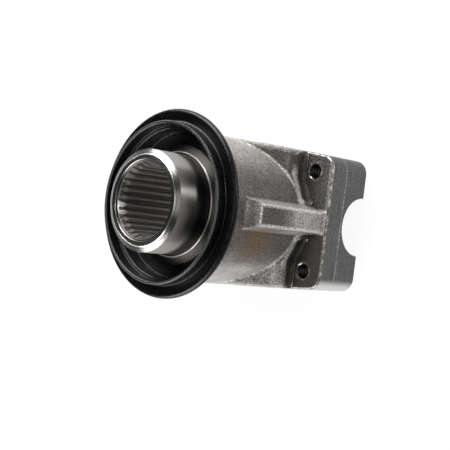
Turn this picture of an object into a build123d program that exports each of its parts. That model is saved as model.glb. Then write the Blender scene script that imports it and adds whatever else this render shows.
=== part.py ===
from build123d import *
import math
import os

# Forged pinion yoke with a pressed-on dust slinger, standing on its ear tips, nose up.
# X runs through the two half-round cup seats, Y along the faces of the ears, and Z up the
# splined bore. The origin is on the bore axis at the level of the ear tips. Sizes in mm.

# Ears: two arms with machined outer faces, crowned faces above and below, and flat tips.
ear_half_span = 45.0
ear_half_height = 35.2
ear_crown_radius = 314.0
ear_corner_radius = 7.0

# Pads: flat lands round the strap bolt holes, where the arms step in to their roots. Over
# each pad the root is cut back to a drafted wall, and the barrel to a tapered neck.
pad_z = 26.6
pad_wall_set_in = 2.1
pad_wall_draft = 14.0
pad_foot_radius = 2.0
pad_edge_radius = 1.0
pocket_neck_depth = 3.0
pocket_side_y = 7.3
pocket_rib_corner_radius = 6.0
pocket_web_corner_radius = 9.0
pocket_rise = 12.6

# Root: a web squared off like the ears, which ramps out of the barrel towards the pads.
root_set_in = 7.2
ramp_shoulder_z = 42.0
ramp_angle = 45.0
ramp_start_x = 5.0
ramp_edge_radius = 3.0
ramp_shoulder_radius = 5.0

# Barrel, as forged.
barrel_radius = 36.0
barrel_front_z = 82.5
barrel_edge_radius = 1.0

# Rib down the middle of each outward side, from a root that lies inside the barrel.
rib_height = 7.0
rib_root_depth = 3.0
rib_face_half_width = 5.2
rib_root_half_width = 7.6
rib_end_z = 73.5
rib_end_slope = 8.0
rib_end_foot_radius = 4.0
rib_foot_radius = 2.5
rib_edge_radius = 0.8

# Hub: ground seal journal with a turned shoulder at its foot and a chamfered nose.
journal_radius = 23.8
journal_foot_z = 86.0
shoulder_inner_radius = 24.7
shoulder_outer_radius = 28.3
shoulder_outer_z = 84.0
nose_z = 105.4
nose_face_radius = 21.1
nose_chamfer_depth = 1.35

# Bore: an internal spline between a lead-in cone and the counterbore for the nut.
spline_teeth = 30
spline_first_angle = 4.5
spline_minor_radius = 16.2
spline_major_radius = 17.5
spline_flank_angle = 45.0
spline_root_width = 0.55
mouth_radius = 19.0
mouth_chamfer = 0.9
lead_in_angle = 21.0
nut_bore_radius = 22.0
nut_floor_z = 50.3
nut_bore_corner_radius = 1.5
spline_end_chamfer = 1.4

# Throat between the ears.
throat_half_width = 27.5
throat_corner_radius = 24.0
throat_top_z = 30.0

# Half-round cup seats across the tips, and the strap bolt holes through the ears.
seat_radius = 14.3
seat_drop = 0.4
seat_edge_chamfer = 0.4
bolt_hole_radius = 3.5
bolt_half_pitch_x = 33.8
bolt_half_pitch_y = 24.4
bolt_hole_chamfer = 0.45

# Slinger: one stamped sheet. Its web sits on the barrel's front, pressed over the shoulder.
sheet = 0.8
sheet_bend_radius = 1.4
cup_radius = 34.6
cup_depth = 7.0
ledge_width = 2.0
hem_height = 5.5
hem_crest_radius = 0.7
flange_width = 6.2
flange_rise = 0.7
rim_lip = 2.2
rim_bend_radius = 1.6

cut_reach = 120.0


def ear_section():
    """Crowned section of both ears across the bore axis, with rounded corners."""
    side_y = ear_half_height - ear_half_span**2 / (2 * ear_crown_radius)
    with BuildSketch() as section:
        with BuildLine():
            ThreePointArc((-ear_half_span, side_y), (0, ear_half_height), (ear_half_span, side_y))
            Line((ear_half_span, side_y), (ear_half_span, -side_y))
            ThreePointArc((ear_half_span, -side_y), (0, -ear_half_height), (-ear_half_span, -side_y))
            Line((-ear_half_span, -side_y), (-ear_half_span, side_y))
        make_face()
        fillet(section.vertices(), ear_corner_radius)
    return section.sketch


def ears():
    """Both arms up to the level of the pads, solid across the throat."""
    block = extrude(ear_section(), pad_z)
    pad_edges = block.faces().sort_by(Axis.Z)[-1].edges()
    return fillet(pad_edges, pad_edge_radius)


def root():
    """Web from the pads up to where its ramps run out in the barrel."""
    root_half_width = barrel_radius - root_set_in
    top_z = ramp_shoulder_z + (root_half_width - ramp_start_x) / math.tan(math.radians(ramp_angle))
    right = [
        (root_half_width, pad_z - pad_edge_radius),
        (root_half_width, ramp_shoulder_z),
        (ramp_start_x, top_z),
    ]
    left = [(-x, z) for x, z in reversed(right)]
    with BuildSketch(Plane.XZ) as outline:
        Polygon(*right, *left, align=None)
        shoulders = outline.vertices().filter_by_position(Axis.Y, ramp_shoulder_z, ramp_shoulder_z)
        fillet(shoulders, ramp_shoulder_radius)
    web = extrude(outline.sketch, cut_reach, both=True) & extrude(ear_section(), cut_reach)
    crowns = web.faces().filter_by(GeomType.CYLINDER).sort_by(SortBy.AREA)[-2:]
    edges = [e for face in crowns for e in face.edges() if e.center().Z > pad_z]
    return fillet(edges, ramp_edge_radius)


def barrel():
    body = Pos(0, 0, pad_z / 2) * Cylinder(
        barrel_radius, barrel_front_z - pad_z / 2, align=(Align.CENTER, Align.CENTER, Align.MIN)
    )
    return fillet(body.edges().sort_by(Axis.Z)[-1], barrel_edge_radius)


def pad_cutter():
    """Clears one pad: drafted walls and the neck that the barrel keeps, with a soft foot."""
    pad_wall_x = barrel_radius - root_set_in - pad_wall_set_in
    with BuildSketch(Plane.XY.offset(pad_z)) as floor:
        with Locations((pad_wall_x, pocket_side_y)):
            Rectangle(cut_reach, cut_reach, align=(Align.MIN, Align.MIN))
        Circle(barrel_radius - pocket_neck_depth, mode=Mode.SUBTRACT)
        rib_corner, web_corner = floor.vertices().sort_by_distance((0, 0))[:2].sort_by(Axis.Y)
        fillet(rib_corner, pocket_rib_corner_radius)
        web_corner = floor.vertices().sort_by_distance(web_corner.center())[0]
        fillet(web_corner, pocket_web_corner_radius)
    space = extrude(floor.sketch, pocket_rise, taper=pad_wall_draft)
    foot = space.faces().sort_by(Axis.Z)[0].edges().sort_by_distance((0, 0, pad_z))[:5]
    return fillet(foot, pad_foot_radius)


def ribs():
    """Trapezoid ribs on the round of the barrel, which their feet and turned ends blend into."""
    rib_root_x = barrel_radius - rib_root_depth
    rib_face_x = barrel_radius + rib_height
    with BuildSketch(Plane.XY.offset(pad_z / 2)) as section:
        Circle(barrel_radius)
        with PolarLocations(0, 2):
            Polygon(
                (rib_root_x, -rib_root_half_width),
                (rib_face_x, -rib_face_half_width),
                (rib_face_x, rib_face_half_width),
                (rib_root_x, rib_root_half_width),
                align=None,
            )
        fillet(section.vertices().sort_by_distance((0, 0))[:4], rib_foot_radius)
        fillet(section.vertices().sort_by_distance((0, 0))[-4:], rib_edge_radius)
    top_z = rib_end_z + rib_end_foot_radius
    bar = extrude(section.sketch, top_z - pad_z / 2)
    reach = rib_face_x + rib_end_foot_radius
    drop = (reach - barrel_radius) * math.tan(math.radians(rib_end_slope))
    with BuildSketch(Plane.XZ) as end:
        Polygon(
            (barrel_radius, rib_end_z),
            (reach, rib_end_z - drop),
            (reach, top_z + rib_end_foot_radius),
            (barrel_radius, top_z + rib_end_foot_radius),
            align=None,
        )
        fillet(end.vertices().sort_by_distance((barrel_radius, rib_end_z))[0], rib_end_foot_radius)
    return bar - revolve(end.sketch, Axis.Z)


def hub():
    """Turned hub above the barrel, solid, to be bored with the rest."""
    with BuildSketch(Plane.XZ) as profile:
        Polygon(
            (0, barrel_front_z),
            (shoulder_outer_radius, barrel_front_z),
            (shoulder_outer_radius, shoulder_outer_z),
            (shoulder_inner_radius, journal_foot_z),
            (journal_radius, journal_foot_z),
            (journal_radius, nose_z - nose_chamfer_depth),
            (nose_face_radius, nose_z),
            (0, nose_z),
            align=None,
        )
    return revolve(profile.sketch, Axis.Z)


def bore_cutter():
    """Plain bore at the tips of the teeth, its chamfered mouth and its lead-in cone."""
    throat_radius = mouth_radius - mouth_chamfer
    cone_depth = (throat_radius - spline_minor_radius) / math.tan(math.radians(lead_in_angle))
    cone_top_z = nose_z - mouth_chamfer
    with BuildSketch(Plane.XZ) as profile:
        Polygon(
            (0, 0),
            (nut_bore_radius, 0),
            (nut_bore_radius, nut_floor_z),
            (spline_minor_radius + spline_end_chamfer, nut_floor_z),
            (spline_minor_radius, nut_floor_z + spline_end_chamfer),
            (spline_minor_radius, cone_top_z - cone_depth),
            (throat_radius, cone_top_z),
            (mouth_radius, nose_z),
            (0, nose_z),
            align=None,
        )
        corner = profile.vertices().sort_by_distance((nut_bore_radius, nut_floor_z))[0]
        fillet(corner, nut_bore_corner_radius)
    return revolve(profile.sketch, Axis.Z)


def spline_spaces():
    """Spaces between the spline teeth: straight flanks stand in for the 45 degree involute."""
    depth = spline_major_radius - spline_minor_radius
    overlap = depth
    flare = math.tan(math.radians(spline_flank_angle))
    half_root = spline_root_width / 2
    half_mouth = half_root + (depth + overlap) * flare
    with BuildSketch(Plane.XY.offset(nut_floor_z)) as spaces:
        with PolarLocations(0, spline_teeth, start_angle=spline_first_angle):
            Polygon(
                (spline_major_radius, -half_root),
                (spline_major_radius, half_root),
                (spline_minor_radius - overlap, half_mouth),
                (spline_minor_radius - overlap, -half_mouth),
                align=None,
            )
    return extrude(spaces.sketch, nose_z - nut_floor_z)


def throat_cutter():
    """Gap between the ears, open at the tips and on both faces."""
    with BuildSketch(Plane.XZ) as outline:
        with Locations((0, throat_top_z)):
            Rectangle(2 * throat_half_width, 2 * throat_top_z, align=(Align.CENTER, Align.MAX))
        tops = outline.vertices().sort_by(Axis.Y)[-2:]
        fillet(tops, throat_corner_radius)
    return extrude(outline.sketch, cut_reach, both=True)


def seat_cutter():
    """Bar across both tips that leaves the half-round cup seats, flared at each side face."""
    bar = Pos(0, 0, -seat_drop) * Rot(0, 90, 0) * Cylinder(seat_radius, cut_reach)
    with BuildSketch(Plane.XZ) as flare:
        with Locations((0, -seat_drop)):
            Polygon(
                (ear_half_span - seat_edge_chamfer, 0),
                (ear_half_span - seat_edge_chamfer, seat_radius),
                (ear_half_span + seat_edge_chamfer, seat_radius + 2 * seat_edge_chamfer),
                (ear_half_span + seat_edge_chamfer, 0),
                align=None,
            )
    ring = revolve(flare.sketch, Axis((0, 0, -seat_drop), (1, 0, 0)))
    return bar + ring + mirror(ring, Plane.YZ)


def bolt_cutters():
    """Four holes parallel to the bore, each chamfered where it opens on its pad."""
    with BuildSketch(Plane.XZ) as profile:
        Polygon(
            (0, -seat_drop),
            (bolt_hole_radius, -seat_drop),
            (bolt_hole_radius, pad_z - bolt_hole_chamfer),
            (bolt_hole_radius + 2 * bolt_hole_chamfer, pad_z + bolt_hole_chamfer),
            (0, pad_z + bolt_hole_chamfer),
            align=None,
        )
    hole = revolve(profile.sketch, Axis.Z)
    return [
        Pos(side_x * bolt_half_pitch_x, side_y * bolt_half_pitch_y, 0) * hole
        for side_x in (-1, 1)
        for side_y in (-1, 1)
    ]


def yoke():
    body = root() + barrel() + ribs()
    cutter = pad_cutter()
    for near in (cutter, mirror(cutter, Plane.XZ)):
        body -= near
        body -= mirror(near, Plane.YZ)
    body += ears()
    body += hub()
    body -= throat_cutter()
    body -= bore_cutter()
    body -= spline_spaces()
    body -= seat_cutter()
    for hole in bolt_cutters():
        body -= hole
    return body


def slinger():
    """Web, cup wall, ledge, folded hem, dished flange and turned-back rim."""
    web_top_z = barrel_front_z + sheet
    ledge_z = web_top_z + cup_depth
    hem_crest_z = ledge_z + hem_height
    rim_z = ledge_z + flange_rise
    cup_outer = cup_radius + sheet
    hem_inner_radius = cup_radius + ledge_width
    hem_outer_radius = hem_inner_radius + 2 * sheet
    rim_radius = hem_outer_radius + flange_width
    inner_bend_radius = sheet_bend_radius - sheet
    rim_inner_bend_radius = rim_bend_radius - sheet
    bends = {
        (cup_outer, barrel_front_z): sheet_bend_radius,
        (cup_outer, ledge_z - sheet): inner_bend_radius,
        (rim_radius - sheet, rim_z - sheet): rim_inner_bend_radius,
        (rim_radius, rim_z): rim_bend_radius,
        (hem_outer_radius, ledge_z): inner_bend_radius,
        (hem_outer_radius, hem_crest_z): hem_crest_radius,
        (hem_inner_radius, hem_crest_z): hem_crest_radius,
        (hem_inner_radius, ledge_z): inner_bend_radius,
        (cup_radius, ledge_z): sheet_bend_radius,
        (cup_radius, web_top_z): inner_bend_radius,
    }
    with BuildSketch(Plane.XZ) as profile:
        Polygon(
            (shoulder_outer_radius, barrel_front_z),
            (cup_outer, barrel_front_z),
            (cup_outer, ledge_z - sheet),
            (hem_outer_radius, ledge_z - sheet),
            (rim_radius - sheet, rim_z - sheet),
            (rim_radius - sheet, rim_z - rim_lip),
            (rim_radius, rim_z - rim_lip),
            (rim_radius, rim_z),
            (hem_outer_radius, ledge_z),
            (hem_outer_radius, hem_crest_z),
            (hem_inner_radius, hem_crest_z),
            (hem_inner_radius, ledge_z),
            (cup_radius, ledge_z),
            (cup_radius, web_top_z),
            (shoulder_outer_radius, web_top_z),
            align=None,
        )
        for corner, radius in bends.items():
            fillet(profile.vertices().sort_by_distance(corner)[0], radius)
    return revolve(profile.sketch, Axis.Z)


os.makedirs("parts", exist_ok=True)
export_step(yoke(), "parts/yoke.step")
export_step(slinger(), "parts/dust_slinger.step")
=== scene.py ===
import math
import bmesh
import bpy
from mathutils import Matrix, Vector


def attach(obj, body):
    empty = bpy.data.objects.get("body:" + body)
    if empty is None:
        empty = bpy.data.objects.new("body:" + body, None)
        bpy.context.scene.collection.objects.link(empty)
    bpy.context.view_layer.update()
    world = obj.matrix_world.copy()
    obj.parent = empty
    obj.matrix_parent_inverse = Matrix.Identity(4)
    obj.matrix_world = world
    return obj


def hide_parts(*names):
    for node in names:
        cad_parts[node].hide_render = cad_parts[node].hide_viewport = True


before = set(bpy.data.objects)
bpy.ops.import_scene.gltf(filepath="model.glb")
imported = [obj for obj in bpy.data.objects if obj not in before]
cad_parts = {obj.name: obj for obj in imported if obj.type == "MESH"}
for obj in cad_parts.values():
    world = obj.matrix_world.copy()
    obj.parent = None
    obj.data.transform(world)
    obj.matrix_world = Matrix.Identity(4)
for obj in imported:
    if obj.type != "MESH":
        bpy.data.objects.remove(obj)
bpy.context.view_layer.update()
MM = 0.001


# Yoke
# One steel forging, shot-blasted all over, then machined where something fits: the ear faces
# and tips are milled, the cup seats bored, the hub turned, its journal ground, and the bore
# broached with a spline. Each finish is its own material, given out by where a face lies.

# Edges that bend by more than CREASE stay sharp. The two lengths are in metres.
CREASE = math.radians(24)
WELD = 2e-6
SKIN_EDGE = 0.003
SPLIT_PASSES = 5

# The sizes that the forged skin needs, in millimetres. On a ramp, x and z add up to RAMP_PLANE.
BARREL_RADIUS = 36.0
RAMP_PLANE = 70.8
RIB_FACE_X = 43.0
RIB_EDGE_Y = 4.9
RIB_LIGHTER_Z = 47.0
RIB_DARKER_Z = 58.0
RIB_END_Z = 71.9
PAD_Z = 26.6
LIP_Z = 35.2
LIP_END_Y = 22.0
TINT_SPOT = (34.0, -12.5, 62.0)
TINT_REACH = 17.0


def linear(hex_colour):
    """sRGB hex to the linear colour that the nodes take."""
    channels = [int(hex_colour[i:i + 2], 16) / 255 for i in (0, 2, 4)]
    return [c / 12.92 if c <= 0.04045 else ((c + 0.055) / 1.055) ** 2.4 for c in channels] + [1]


def feed(node, inputs):
    """Sets a node's inputs to values, or links them from sockets, or from nodes.

    A node stands for the first of its outputs that is in use. Inputs that share a name go by
    number. A map range has its value at 0, takes it from the range 1 to 2 (which is 0 to 1 if
    not given) and brings it to the range 3 to 4 (the same). A mix has its share at 0, two
    values at 2 and 3, and two colours at 6 and 7.
    """
    for key, value in inputs.items():
        if isinstance(value, bpy.types.Node):
            value = next(output for output in value.outputs if output.enabled)
        if isinstance(value, bpy.types.NodeSocket):
            node.id_data.links.new(value, node.inputs[key])
        else:
            node.inputs[key].default_value = value


def add(tree, kind, inputs=None, **settings):
    """Adds one shader node with its settings, and feeds its inputs."""
    node = tree.nodes.new("ShaderNode" + kind)
    for key, value in settings.items():
        setattr(node, key, value)
    feed(node, inputs or {})
    return node


# Settings of a map range with soft ends, and of a mix that multiplies colours.
SMOOTH = {"interpolation_type": "SMOOTHSTEP"}
MULTIPLY = {"data_type": "RGBA", "blend_type": "MULTIPLY"}


def surface(name, colour, roughness, metallic=1.0):
    """A material, its tree and shader, and the place in the part, in millimetres.

    Patterns that use the place have their scale in features to the millimetre.
    """
    material = bpy.data.materials.new(name)
    material.use_nodes = True
    tree = material.node_tree
    shader = tree.nodes["Principled BSDF"]
    feed(shader, {"Base Color": linear(colour), "Metallic": metallic, "Roughness": roughness})
    place = add(tree, "TexCoord").outputs["Object"]
    place = add(tree, "VectorMath", {0: place, "Scale": 1 / MM}, operation="SCALE")
    return material, tree, shader, place


# Shot-blasted forging: scaly mid grey, dented by the shot into grains of about a millimetre
# that sparkle, with painted light on its sides, rubbed bright along its proud edges, painted
# highlights on its creases, rims and lips, brown heat tint on the barrel, and painted shade in
# the pockets, on the pads and in the hollows. Each rib's face is darker on its half nearer the
# nose.
forged, tree, shader, place = surface("shot_blasted_forged_steel", "7c7a77", 0.46, metallic=0.62)

# Grains of 1 mm in dents of 1.25 mm, under patches of scale 9 mm across.
grain = add(tree, "TexNoise", {"Vector": place, "Scale": 1.05, "Detail": 3, "Roughness": 0.6})
dimples = add(tree, "TexVoronoi", {"Vector": place, "Scale": 0.8}, feature="SMOOTH_F1")
skin_height = add(tree, "Math", {0: dimples, 1: 0.45, 2: grain}, operation="MULTIPLY_ADD")
scale = add(tree, "TexNoise", {"Vector": place, "Scale": 0.11, "Detail": 4, "Roughness": 0.6})
patches = add(tree, "MapRange", {0: scale, 1: 0.38, 2: 0.62, 3: 1.12, 4: 0.86})

# Where a spot lies, with the four quarters of the part folded into one, how far out from the
# bore, and which way it faces. The low side is the lower one in the photograph, towards -Y.
corner = add(tree, "VectorMath", {0: place}, operation="ABSOLUTE")
part_x, part_y, part_z = add(tree, "SeparateXYZ", {0: corner}).outputs
bore_side = add(tree, "VectorMath", {0: corner, 1: (1, 1, 0)}, operation="MULTIPLY")
out = add(tree, "VectorMath", {0: bore_side}, operation="LENGTH")
place_y = add(tree, "SeparateXYZ", {0: place}).outputs["Y"]
low_side = add(tree, "MapRange", {0: place_y, 1: -4.0, 2: 4.0, 3: 1.0, 4: 0.0})
normal = add(tree, "NewGeometry").outputs["Normal"]
normal_y = add(tree, "SeparateXYZ", {0: normal}).outputs["Y"]
facing = add(tree, "VectorMath", {0: normal}, operation="ABSOLUTE")
outward, sideways, _ = add(tree, "SeparateXYZ", {0: facing}).outputs
relief = add(tree, "Attribute", attribute_name="relief").outputs["Fac"]

# Painted shade: on the pads, at the foot of the walls over them and in the pockets of the low
# side, lighter on the upper side. The low side's pads and pockets are also smooth. The half of
# each rib's face that is nearer the nose is darker too.
over_pad = add(tree, "MapRange", {0: part_z, 1: PAD_Z - 1.0, 2: PAD_Z - 0.4})
on_pad = add(tree, "MapRange", {0: part_z, 1: PAD_Z + 0.2, 2: PAD_Z + 1.4, 3: 1.0, 4: 0.0})
on_pad = add(tree, "Math", {0: on_pad, 1: over_pad}, operation="MULTIPLY")
in_neck = {0: out, 1: BARREL_RADIUS - 0.7, 2: BARREL_RADIUS - 0.1, 3: 1.0, 4: 0.0}
in_pocket = add(tree, "MapRange", in_neck)
under_lip = add(tree, "MapRange", {0: part_z, 1: PAD_Z + 5.5, 2: PAD_Z + 7.0, 3: 1.0, 4: 0.0})
for mask in (under_lip, over_pad):
    in_pocket = add(tree, "Math", {0: in_pocket, 1: mask}, operation="MULTIPLY")
smooth_painted_shade = add(tree, "Math", {0: in_pocket, 1: on_pad}, operation="MAXIMUM")
smooth_painted_shade = add(tree, "Math", {0: smooth_painted_shade, 1: low_side}, operation="MULTIPLY")
clear_of_rib = add(tree, "MapRange", {0: part_y, 1: RIB_EDGE_Y + 0.5, 2: RIB_EDGE_Y + 1.5})
low_wall = add(tree, "MapRange", {0: part_z, 1: PAD_Z + 4.7, 2: PAD_Z + 6.5, 3: 1.0, 4: 0.0})
for mask in (clear_of_rib, over_pad):
    low_wall = add(tree, "Math", {0: low_wall, 1: mask}, operation="MULTIPLY")
on_rib = add(tree, "MapRange", {0: part_x, 1: RIB_FACE_X - 0.4, 2: RIB_FACE_X - 0.1, 4: 0.9})
dark_rib_half = add(tree, "MapRange", {0: part_z, 1: RIB_LIGHTER_Z, 2: RIB_DARKER_Z})
dark_rib_half = add(tree, "Math", {0: on_rib, 1: dark_rib_half}, operation="MULTIPLY")
shade_depth = add(tree, "MapRange", {0: low_side, 3: 0.45})
painted_shade_and_dark_rib = add(tree, "Math", {0: smooth_painted_shade, 1: on_pad}, operation="MAXIMUM")
painted_shade_and_dark_rib = add(tree, "Math", {0: painted_shade_and_dark_rib, 1: low_wall}, operation="MAXIMUM")
painted_shade_and_dark_rib = add(tree, "Math", {0: painted_shade_and_dark_rib, 1: shade_depth}, operation="MULTIPLY")
painted_shade_and_dark_rib = add(tree, "Math", {0: painted_shade_and_dark_rib, 1: dark_rib_half}, operation="MAXIMUM")

# Painted light: lighter where it faces sideways or well down to the low side, less so by the
# ribs. Lighter too on the other half of each rib's face, and painted light on the rib's
# turned-down end.
painted_side_light = add(tree, "MapRange", {0: sideways, 1: 0.4, 2: 1.0}, **SMOOTH)
faces_low_side = add(tree, "MapRange", {0: normal_y, 1: -0.74, 2: -0.56, 3: 1.0, 4: 0.0}, **SMOOTH)
painted_side_light = add(tree, "Math", {0: painted_side_light, 1: faces_low_side}, operation="MAXIMUM")
by_rib = add(tree, "MapRange", {0: clear_of_rib, 3: 0.4})
painted_side_light = add(tree, "Math", {0: painted_side_light, 1: by_rib}, operation="MULTIPLY")
past_end = add(tree, "MapRange", {0: part_z, 1: RIB_END_Z, 2: RIB_END_Z + 0.7})
on_end = add(tree, "MapRange", {0: part_x, 1: BARREL_RADIUS, 2: BARREL_RADIUS + 0.7})
rib_end = add(tree, "Math", {0: past_end, 1: on_end}, operation="MULTIPLY")
lighter_rib = add(tree, "Math", {0: on_rib, 1: dark_rib_half}, operation="SUBTRACT")
lighter_rib = add(tree, "Math", {0: lighter_rib, 1: rib_end}, operation="MAXIMUM")
tone = linear("5a5551")
# Mixed in: the painted light, the lighter half of the ribs, and painted shade.
for share, colour in ((painted_side_light, "a4a19d"), (lighter_rib, "96938f"), (painted_shade_and_dark_rib, "474442")):
    tone = add(tree, "Mix", {0: share, 6: tone, 7: linear(colour)}, data_type="RGBA")

# Sparkle of the grains, less on faces turned well down to the low side and none where the skin
# is smooth, and painted shade in the hollows.
specks = add(tree, "MapRange", {0: grain, 1: 0.3, 2: 0.7, 3: 0.38, 4: 1.62})
calm_grain = add(tree, "Math", {0: faces_low_side, 1: 0.55}, operation="MULTIPLY")
calm_grain = add(tree, "Math", {0: calm_grain, 1: smooth_painted_shade}, operation="MAXIMUM")
specks = add(tree, "Mix", {0: calm_grain, 2: specks, 3: 1.0}, data_type="FLOAT")
painted_hollow_shade = add(tree, "MapRange", {0: relief, 1: -0.3, 2: -0.06, 3: 0.55})
for factor in (specks, patches, painted_hollow_shade):
    tone = add(tree, "Mix", {0: 1.0, 6: tone, 7: factor}, **MULTIPLY)

# Heat tint on the low side of the barrel, in ragged blotches of 2 mm.
tint = add(tree, "VectorMath", {0: place, 1: TINT_SPOT}, operation="DISTANCE")
tint = add(tree, "MapRange", {0: tint, 1: 3.0, 2: TINT_REACH, 3: 1.2, 4: 0.0})
blotches = add(tree, "TexNoise", {"Vector": place, "Scale": 0.5, "Detail": 4, "Roughness": 0.7})
blotches = add(tree, "MapRange", {0: blotches, 1: 0.38, 2: 0.6, 3: 0.15})
tint = add(tree, "Math", {0: tint, 1: blotches}, operation="MULTIPLY")
tint = add(tree, "Math", {0: tint, 1: 0.85}, operation="MINIMUM")

# Distances off the ramps, the round of the barrel, the ribs' edges and ends, and the lips of
# the pockets.
across = add(tree, "VectorMath", {0: corner, 1: (1, 0, 1)}, operation="DOT_PRODUCT")
off = {}
for feature, measure, level in (
    ("ramp", across, RAMP_PLANE),
    ("barrel", out, BARREL_RADIUS),
    ("rib_edge", part_y, RIB_EDGE_Y),
    ("rib_end", part_z, RIB_END_Z),
    ("lip", part_z, LIP_Z),
):
    past = add(tree, "Math", {0: measure, 1: level}, operation="SUBTRACT")
    off[feature] = add(tree, "Math", {0: past}, operation="ABSOLUTE")

# Rubbed bright along the proud edges, and painted highlights on the creases between ramp
# and barrel, the rims of the ribs, the lips of the pockets, the feet of the ribs on the pads,
# and the outer ramps of the low side.
rubbed = add(tree, "MapRange", {0: relief, 1: 0.12, 2: 0.6, 4: 0.9})
crease = add(tree, "MapRange", {0: off["ramp"], 1: 0.2, 2: 1.9, 3: 1.0, 4: 0.0})
by_barrel = add(tree, "MapRange", {0: off["barrel"], 1: 0.3, 2: 0.8, 3: 1.0, 4: 0.0})
crease = add(tree, "Math", {0: crease, 1: by_barrel}, operation="MULTIPLY")
rim = add(tree, "Math", {0: off["rib_edge"], 1: off["rib_end"]}, operation="MINIMUM")
rim = add(tree, "MapRange", {0: rim, 1: 0.3, 2: 1.4, 3: 0.8, 4: 0.0})
at_face = add(tree, "Math", {0: part_x, 1: RIB_FACE_X, 2: 1.6}, operation="COMPARE")
rim = add(tree, "Math", {0: rim, 1: at_face}, operation="MULTIPLY")
lip = add(tree, "MapRange", {0: off["lip"], 1: 1.2, 2: 3.2, 3: 1.3, 4: 0.0})
lip_start = add(tree, "MapRange", {0: part_y, 1: RIB_EDGE_Y + 2.0, 2: RIB_EDGE_Y + 4.0})
lip_end = add(tree, "MapRange", {0: part_y, 1: LIP_END_Y, 2: LIP_END_Y + 5.0, 3: 1.0, 4: 0.0})
for mask in (lip_start, lip_end):
    lip = add(tree, "Math", {0: lip, 1: mask}, operation="MULTIPLY")
rib_foot = add(tree, "Math", {0: 1.0, 1: clear_of_rib}, operation="SUBTRACT")
rib_foot = add(tree, "Math", {0: rib_foot, 1: on_pad}, operation="MULTIPLY")
past_barrel = {0: out, 1: BARREL_RADIUS + 0.1, 2: BARREL_RADIUS + 0.5}
low_ramp_highlight = add(tree, "MapRange", past_barrel)
off_rib = add(tree, "MapRange", {0: part_y, 1: RIB_EDGE_Y + 1.0, 2: RIB_EDGE_Y + 3.0})
faced_out = add(tree, "MapRange", {0: outward, 1: 0.4, 2: 0.8, 4: 0.45})
off_wall = add(tree, "Math", {0: 1.0, 1: low_wall}, operation="SUBTRACT")
for mask in (low_side, off_rib, faced_out, off_wall):
    low_ramp_highlight = add(tree, "Math", {0: low_ramp_highlight, 1: mask}, operation="MULTIPLY")
wear_and_highlights = rubbed
for patch in (crease, rim, lip, rib_foot, low_ramp_highlight):
    wear_and_highlights = add(tree, "Math", {0: wear_and_highlights, 1: patch}, operation="MAXIMUM")
catch = add(tree, "MapRange", {0: grain, 1: 0.4, 2: 0.58, 3: 0.3})
wear_and_highlights = add(tree, "Math", {0: wear_and_highlights, 1: catch}, operation="MULTIPLY")

# The heat tint, then the wear and painted highlights.
for share, colour in ((tint, "5f4a30"), (wear_and_highlights, "e2dfd9")):
    tone = add(tree, "Mix", {0: share, 6: tone, 7: linear(colour)}, data_type="RGBA")
gloss = add(tree, "MapRange", {0: wear_and_highlights, 3: 0.46, 4: 0.34})
bite = add(tree, "MapRange", {0: smooth_painted_shade, 3: 1.0, 4: 0.35})
dents = add(tree, "Bump", {"Strength": bite, "Distance": 0.0004, "Height": skin_height})
feed(shader, {"Base Color": tone, "Roughness": gloss, "Normal": dents})

# Sheared flash: the forging's parting line along the pads, cut off and torn in tears of about
# 2 mm, so that it glints in patches and is dull between them.
flash, tree, shader, place = surface("sheared_flash_steel", "b9b5ae", 0.38, metallic=0.85)
tears = add(tree, "TexNoise", {"Vector": place, "Scale": 0.5, "Detail": 5, "Roughness": 0.7})
torn = add(tree, "MapRange", {0: tears, 1: 0.46, 2: 0.66})
tone = add(tree, "Mix", {0: torn, 6: linear("65615d"), 7: linear("c9c5be")}, data_type="RGBA")
bump = add(tree, "Bump", {"Strength": 0.6, "Distance": 0.0006, "Height": tears})
feed(shader, {"Base Color": tone, "Normal": bump})

# Milled ear faces and tips: dulled by handling, with painted light where they turn down to the
# low side, the cutter's faint lines 0.4 mm apart along the ear, pits of 0.7 mm where the
# forging's skin still shows through, and a line round the ear at SCRIBE_Z that is broken into
# dashes.
SCRIBE_Z = 15.5
MILLED_GREY = "595958"
milled, tree, shader, place = surface("milled_steel", MILLED_GREY, 0.42, metallic=0.85)
streaks = add(tree, "Mapping", {"Vector": place, "Scale": (1.0, 0.06, 2.6)})
streaks = add(tree, "TexNoise", {"Vector": streaks, "Scale": 1.0, "Detail": 3})
pits = add(tree, "TexNoise", {"Vector": place, "Scale": 1.5, "Detail": 3, "Roughness": 0.65})
height = add(tree, "Math", {0: streaks, 1: 0.5, 2: pits}, operation="MULTIPLY_ADD")
streaked = add(tree, "MapRange", {0: height, 1: 0.5, 2: 1.0, 3: 0.4, 4: 1.5})
tone = add(tree, "Mix", {0: 1.0, 6: linear(MILLED_GREY), 7: streaked}, **MULTIPLY)
normal = add(tree, "NewGeometry").outputs["Normal"]
normal_y = add(tree, "SeparateXYZ", {0: normal}).outputs["Y"]
# Painted light on faces turned down to the low side, joined by the scribed line.
painted_light_and_scribe = add(tree, "MapRange", {0: normal_y, 1: -0.7, 2: -0.12, 3: 1.0, 4: 0.0}, **SMOOTH)
level = add(tree, "SeparateXYZ", {0: place}).outputs["Z"]
scribe = add(tree, "Math", {0: level, 1: SCRIBE_Z, 2: 0.5}, operation="COMPARE")
dashes = add(tree, "MapRange", {0: pits, 1: 0.42, 2: 0.62, 4: 0.45})
scribe = add(tree, "Math", {0: scribe, 1: dashes}, operation="MULTIPLY")
painted_light_and_scribe = add(tree, "Math", {0: painted_light_and_scribe, 1: scribe}, operation="MAXIMUM")
tone = add(tree, "Mix", {0: painted_light_and_scribe, 6: tone, 7: linear("cccac8")}, data_type="RGBA")
bump = add(tree, "Bump", {"Strength": 0.6, "Distance": 0.0003, "Height": height})
feed(shader, {"Base Color": tone, "Normal": bump})
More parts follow.
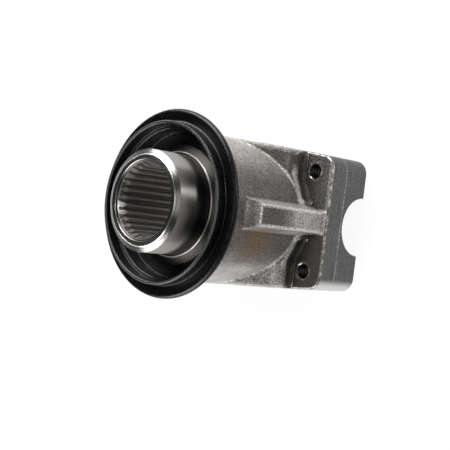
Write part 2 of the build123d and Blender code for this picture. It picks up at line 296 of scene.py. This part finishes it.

# Turned steel: tool marks run round the bore and draw each highlight out across them. They are
# 0.4 mm apart, coarser than real ones, so that they show. The nose and the cup seats are
# bright. The shoulder at the journal's foot and the mouth of the bore are darker copies of it,
# as painted shade. The nose, the shoulder and the mouth each have a painted highlight, a fine
# bright line round its corner, which is also a slight ridge in the bump.
SHOULDER_RADIUS = 24.7
NOSE_FACE_RADIUS = 21.1
MOUTH_RADIUS = 19.0
turned_steels = []
for name, colour, roughness, lip_radius, lip_height, lip_width in (
    ("turned_steel", "8c8a88", 0.26, NOSE_FACE_RADIUS, 1.6, 0.3),
    ("turned_shoulder_steel_painted_shade", "393735", 0.34, SHOULDER_RADIUS, 2.6, 0.5),
    ("turned_mouth_steel_painted_shade", "3c3b3b", 0.36, MOUTH_RADIUS, 0.8, 0.3),
):
    finish, tree, shader, place = surface(name, colour, roughness)
    along = add(tree, "VectorMath", {0: (0, 0, 1), 1: place}, operation="CROSS_PRODUCT")
    radius = add(tree, "VectorMath", {0: along}, operation="LENGTH")
    rings = add(tree, "TexNoise", {"W": radius, "Scale": 2.4, "Detail": 2}, noise_dimensions="1D")
    lip = add(tree, "Math", {0: radius, 1: lip_radius}, operation="SUBTRACT")
    lip = add(tree, "Math", {0: lip}, operation="ABSOLUTE")
    lip = add(tree, "MapRange", {0: lip, 1: 0.0, 2: lip_width, 3: lip_height, 4: 0.0})
    height = add(tree, "Math", {0: rings, 1: lip}, operation="ADD")
    bump = add(tree, "Bump", {"Strength": 0.4, "Distance": 0.0002, "Height": height})
    tone = add(tree, "Mix", {0: lip, 6: linear(colour), 7: linear("e0deda")}, data_type="RGBA")
    feed(shader, {"Anisotropic": 0.6, "Anisotropic Rotation": 0.25, "Tangent": along})
    feed(shader, {"Base Color": tone, "Normal": bump})
    turned_steels.append(finish)
turned, shoulder, mouth = turned_steels

# Ground journal: bright steel with fine grinding lines round it, which spread every reflection
# along the bore and hardly round it. They are drawn 0.4 mm apart, coarser than real ones, so
# that they show. The journal is darker towards its foot: painted shade of the slinger's hem.
JOURNAL_SHADE_Z = 90.5
JOURNAL_BRIGHT_Z = 95.0
GROUND_GREY = "b0adaa"
ground, tree, shader, place = surface("ground_steel", GROUND_GREY, 0.33)
along = add(tree, "VectorMath", {0: (0, 0, 1), 1: place}, operation="CROSS_PRODUCT")
level = add(tree, "SeparateXYZ", {0: place}).outputs["Z"]
lines = add(tree, "TexNoise", {"W": level, "Scale": 2.6, "Detail": 3}, noise_dimensions="1D")
bright = add(tree, "MapRange", {0: level, 1: JOURNAL_SHADE_Z, 2: JOURNAL_BRIGHT_Z}, **SMOOTH)
tone = {0: bright, 6: linear("4c4a49"), 7: linear(GROUND_GREY)}
tone = add(tree, "Mix", tone, data_type="RGBA")
bump = add(tree, "Bump", {"Strength": 0.3, "Distance": 0.0002, "Height": lines})
feed(shader, {"Anisotropic": 0.95, "Anisotropic Rotation": 0.25, "Tangent": along})
feed(shader, {"Base Color": tone, "Normal": bump})

# Broached spline: painted shade in its roots and painted highlights on the lands of the teeth,
# with drag marks along them that are drawn 0.4 mm apart, coarser than real ones, so that they
# show.
broached, tree, shader, place = surface("broached_steel", "8e8c8a", 0.36, metallic=0.75)
drag = add(tree, "Mapping", {"Vector": place, "Scale": (2.5, 2.5, 0.05)})
drag = add(tree, "TexNoise", {"Vector": drag, "Scale": 1.0, "Detail": 2})
relief = add(tree, "Attribute", attribute_name="relief").outputs["Fac"]
lit_lands_shaded_roots = add(tree, "MapRange", {0: relief, 1: -0.2, 2: 0.7})
tone = add(tree, "Mix", {0: lit_lands_shaded_roots, 6: linear("605d5b"), 7: linear("f0eeea")}, data_type="RGBA")
bump = add(tree, "Bump", {"Strength": 0.3, "Distance": 0.0002, "Height": drag})
feed(shader, {"Base Color": tone, "Normal": bump})

# Tapped holes: dark oiled thread, just over a millimetre from crest to crest.
THREAD_PITCH = 1.058
tapped, tree, shader, place = surface("tapped_steel", "4a4846", 0.4)
level = add(tree, "SeparateXYZ", {0: place}).outputs["Z"]
turns = add(tree, "Math", {0: level, 1: THREAD_PITCH}, operation="DIVIDE")
thread = add(tree, "Math", {0: turns, 1: 1.0}, operation="PINGPONG")
bump = add(tree, "Bump", {"Strength": 1.0, "Distance": 0.0005, "Height": thread})
feed(shader, {"Normal": bump})

FINISHES = [forged, flash, milled, turned, shoulder, mouth, ground, broached, tapped]

# The limits between the finishes, in millimetres. The flash shows only past FLASH_X or FLASH_Y.
BARREL_FRONT = 82.5
HUB_REACH = 31.0
JOURNAL_RADIUS = 23.8
JOURNAL_FOOT = 86.0
NOSE = 105.4
MOUTH_CHAMFER = 0.9
SPLINE_REACH = 17.7
NUT_FLOOR = 50.3
NUT_BORE_RADIUS = 22.0
NUT_BORE_FOOT = 24.0
HOLE_X = 33.8
HOLE_Y = 24.4
HOLE_RADIUS = 4.45
EAR_CORNER_X = 37.0
SEAT_RADIUS = 14.8
SEAT_DROP = 0.4
THROAT_X = 27.0
TRIM_DEPTH = 1.05
FLASH_X = 35.0
FLASH_Y = 25.0


def finish_of(spot, normal):
    """The finish that the yoke has at a spot, in millimetres, on a face with that normal."""
    x, y, z = abs(spot.x), abs(spot.y), spot.z
    out = math.hypot(x, y)
    upright = abs(normal.z)
    if z > BARREL_FRONT - 0.05 and out < HUB_REACH:
        if abs(out - JOURNAL_RADIUS) < 0.15 and upright < 0.1 and z > JOURNAL_FOOT:
            return ground
        if out > JOURNAL_RADIUS and z < JOURNAL_FOOT + 0.1:
            return shoulder
        if out > MOUTH_RADIUS:
            return turned
        return mouth if z > NOSE - MOUTH_CHAMFER else broached
    if out < SPLINE_REACH and z > NUT_FLOOR - 0.1:
        return broached
    if out < NUT_BORE_RADIUS + 0.1 and z > NUT_BORE_FOOT:
        return turned
    if math.hypot(x - HOLE_X, y - HOLE_Y) < HOLE_RADIUS and upright < 0.95:
        return turned if normal.z > 0.3 else tapped
    under_trim = z < PAD_Z - TRIM_DEPTH
    if z < 0.05 or (under_trim and x > EAR_CORNER_X and upright < 0.05):
        return milled
    if math.hypot(y, z + SEAT_DROP) < SEAT_RADIUS and x > THROAT_X:
        return turned
    on_trim = PAD_Z - TRIM_DEPTH < z < PAD_Z - 0.01 and normal.z > 0.02
    if on_trim and (x > FLASH_X or y > FLASH_Y):
        return flash
    return forged


def skin(node, finishes, choose):
    """A merged copy of a CAD solid, smooth where it curves, with its finishes given out."""
    shell = bmesh.new()
    shell.from_mesh(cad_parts[node].data)
    bmesh.ops.remove_doubles(shell, verts=shell.verts, dist=WELD)
    for face in shell.faces:
        face.smooth = True
        spot = face.calc_center_median() / MM
        face.material_index = finishes.index(choose(spot, face.normal))
    for edge in shell.edges:
        edge.smooth = edge.calc_face_angle(0) < CREASE
    return shell


def split_long_edges(shell, rough):
    """Splits one finish's long edges, so that its wear, painted light and shade can be marked."""
    for _ in range(SPLIT_PASSES):
        faces = [face for face in shell.faces if face.material_index == rough]
        edges = {edge for face in faces for edge in face.edges if edge.calc_length() > SKIN_EDGE}
        bmesh.ops.subdivide_edges(shell, edges=list(edges), cuts=1)
        bmesh.ops.triangulate(shell, faces=[face for face in shell.faces if len(face.verts) > 3])


def mark_relief(shell):
    """Marks the bend at each point, per millimetre: above nought if proud, below if hollow."""
    layer = shell.verts.layers.float.new("relief")
    for vert in shell.verts:
        bend = sum(edge.calc_face_angle_signed(0) * edge.calc_length() for edge in vert.link_edges)
        area = sum(face.calc_area() for face in vert.link_faces) / 3
        vert[layer] = max(-1.0, min(1.0, bend * MM / (4 * area)))


def dress(shell, name, node, finishes):
    """Makes the piece from its shell and puts it in place of the CAD node."""
    mesh = bpy.data.meshes.new(name)
    shell.to_mesh(mesh)
    shell.free()
    for finish in finishes:
        mesh.materials.append(finish)
    piece = bpy.data.objects.new(name, mesh)
    bpy.context.collection.objects.link(piece)
    weighted = piece.modifiers.new("weighted", "WEIGHTED_NORMAL")
    weighted.keep_sharp = True
    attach(piece, "root")
    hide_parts(node)
    return piece


shell = skin("yoke", FINISHES, finish_of)
split_long_edges(shell, FINISHES.index(forged))
mark_relief(shell)
yoke = dress(shell, "forged_yoke", "yoke", FINISHES)


# Dust slinger
# A disc stamped from thin steel sheet, with a cup, a folded hem and a dished flange, coated
# black and pressed over the shoulder of the hub against the front of the barrel.

# In millimetres. The coat is even past RIM_RADIUS. Within the first radius its bends are paler,
# partly from wear and partly as painted highlight.
PALE_BENDS_RADIUS = 39.5
RIM_RADIUS = 41.5

# Black-coated sheet: satin and nearly black, with dust in patches of 2 mm, rings 0.9 mm apart
# from the drawing die, and paler on the bends inside the rim, partly where the coat is rubbed
# down and partly as painted highlight.
COAT_BLACK = "050506"
coat, tree, shader, place = surface("black_coated_sheet_steel", COAT_BLACK, 0.34, metallic=0.0)
dust = add(tree, "TexNoise", {"Vector": place, "Scale": 0.5, "Detail": 4, "Roughness": 0.65})
sheen = add(tree, "MapRange", {0: dust, 1: 0.35, 2: 0.7, 3: 0.24, 4: 0.4})
radius = add(tree, "VectorMath", {0: place, 1: (1, 1, 0)}, operation="MULTIPLY")
radius = add(tree, "VectorMath", {0: radius}, operation="LENGTH")
rings = add(tree, "TexNoise", {"W": radius, "Scale": 1.1, "Detail": 2}, noise_dimensions="1D")
bump = add(tree, "Bump", {"Strength": 0.25, "Distance": 0.0003, "Height": rings})
relief = add(tree, "Attribute", attribute_name="relief").outputs["Fac"]
worn_and_lit_bends = add(tree, "MapRange", {0: relief, 1: 0.35, 2: 0.75})
inside = add(tree, "MapRange", {0: radius, 1: PALE_BENDS_RADIUS, 2: RIM_RADIUS, 3: 0.5, 4: 0.0})
worn_and_lit_bends = add(tree, "Math", {0: worn_and_lit_bends, 1: inside}, operation="MULTIPLY")
tone = add(tree, "Mix", {0: worn_and_lit_bends, 6: linear(COAT_BLACK), 7: linear("6a6967")}, data_type="RGBA")
feed(shader, {"Base Color": tone, "Roughness": sheen, "Normal": bump})
feed(shader, {"Specular IOR Level": 0.26})

shell = skin("dust_slinger", [coat], lambda spot, normal: coat)
mark_relief(shell)
slinger = dress(shell, "stamped_slinger", "dust_slinger", [coat])


# Studio
# A plain white floor, soft boxes above, below and before the yoke as it lies to the camera,
# and the camera at the photograph's angle. Lengths are in metres.

FLOOR_HALF = 6.0
AIM = Vector((0, 0, 0.06))
LAMP_DISTANCE = 1.0

# Paper that the camera and the steel see as almost white, whatever light falls on it.
paper = bpy.data.materials.new("white_paper")
paper.use_nodes = True
tree = paper.node_tree
shade = tree.nodes["Principled BSDF"]
feed(shade, {"Base Color": linear("f4f4f4"), "Roughness": 0.9})
rays = add(tree, "LightPath").outputs
seen = rays["Is Camera Ray"]
for ray in ("Is Glossy Ray", "Is Transmission Ray"):
    seen = add(tree, "Math", {0: seen, 1: rays[ray]}, operation="MAXIMUM")
glow = add(tree, "Emission", {"Color": linear("ffffff"), "Strength": 1.0})
lit = add(tree, "MixShader", {0: 0.93, 1: shade, 2: glow})
look = add(tree, "MixShader", {0: seen, 1: shade, 2: lit})
feed(tree.nodes["Material Output"], {"Surface": look})
sheet = bmesh.new()
bmesh.ops.create_grid(sheet, x_segments=1, y_segments=1, size=FLOOR_HALF)
floor_mesh = bpy.data.meshes.new("floor")
sheet.to_mesh(floor_mesh)
sheet.free()
floor_mesh.materials.append(paper)
floor = bpy.data.objects.new("floor", floor_mesh)
bpy.context.collection.objects.link(floor)

# A dark room that is paler low down and on the side away from the camera.
world = bpy.data.worlds.new("studio")
bpy.context.scene.world = world
world.use_nodes = True
tree = world.node_tree
sky = add(tree, "TexCoord").outputs["Generated"]
side, _, rise = add(tree, "SeparateXYZ", {0: sky}).outputs
low = add(tree, "MapRange", {0: rise, 1: 0.05, 2: 0.5, 3: 1.0, 4: 0.0}, **SMOOTH)
behind = add(tree, "MapRange", {0: side, 1: -0.4, 2: 0.3, 3: 1.0, 4: 0.1}, **SMOOTH)
pale = add(tree, "Math", {0: low, 1: behind}, operation="MULTIPLY")
room = add(tree, "Mix", {0: pale, 6: linear("303030"), 7: linear("a0a0a0")}, data_type="RGBA")
feed(tree.nodes["Background"], {"Color": room, "Strength": 1.0})

# Each soft box by its azimuth and elevation in degrees, width, height and power in watts.
for name, azimuth, elevation, width, height, power in (
    ("key_box", 110, 34, 0.9, 0.8, 20),
    ("under_box", -106, 31, 0.9, 0.82, 15.5),
    ("front_strip", 26, 8, 0.22, 0.14, 3.3),
    ("side_strip", 80, 8, 0.2, 0.14, 1.2),
    ("fill_box", 5, 66, 0.5, 0.5, 1.4),
):
    lamp = bpy.data.lights.new(name, "AREA")
    lamp.shape = "RECTANGLE"
    lamp.size = width
    lamp.size_y = height
    lamp.energy = power
    box = bpy.data.objects.new(name, lamp)
    bpy.context.collection.objects.link(box)
    turn, lift = math.radians(azimuth), math.radians(elevation)
    level = math.cos(lift)
    line = Vector((level * math.cos(turn), level * math.sin(turn), math.sin(lift)))
    box.location = AIM + line * LAMP_DISTANCE
    box.rotation_euler = line.to_track_quat("Z", "Y").to_euler()

# The camera's place and its own right, up and back, as solved from the photograph.
CAMERA_PLACE = (0.362519, -0.002122, 0.42966)
RIGHT = (0.71748, 0.12439, -0.68538)
UP = (-0.09635, 0.99219, 0.07921)
BACK = (0.68988, 0.00921, 0.72386)
lens = bpy.data.cameras.new("camera")
lens.sensor_width = 36
lens.lens = 85.286
lens.clip_start = 0.01
lens.clip_end = 50
camera = bpy.data.objects.new("camera", lens)
bpy.context.collection.objects.link(camera)
camera_turn = Matrix((RIGHT, UP, BACK)).transposed().to_4x4()
camera.matrix_world = Matrix.Translation(CAMERA_PLACE) @ camera_turn
bpy.context.scene.camera = camera
bpy.context.scene.view_settings.view_transform = "Standard"
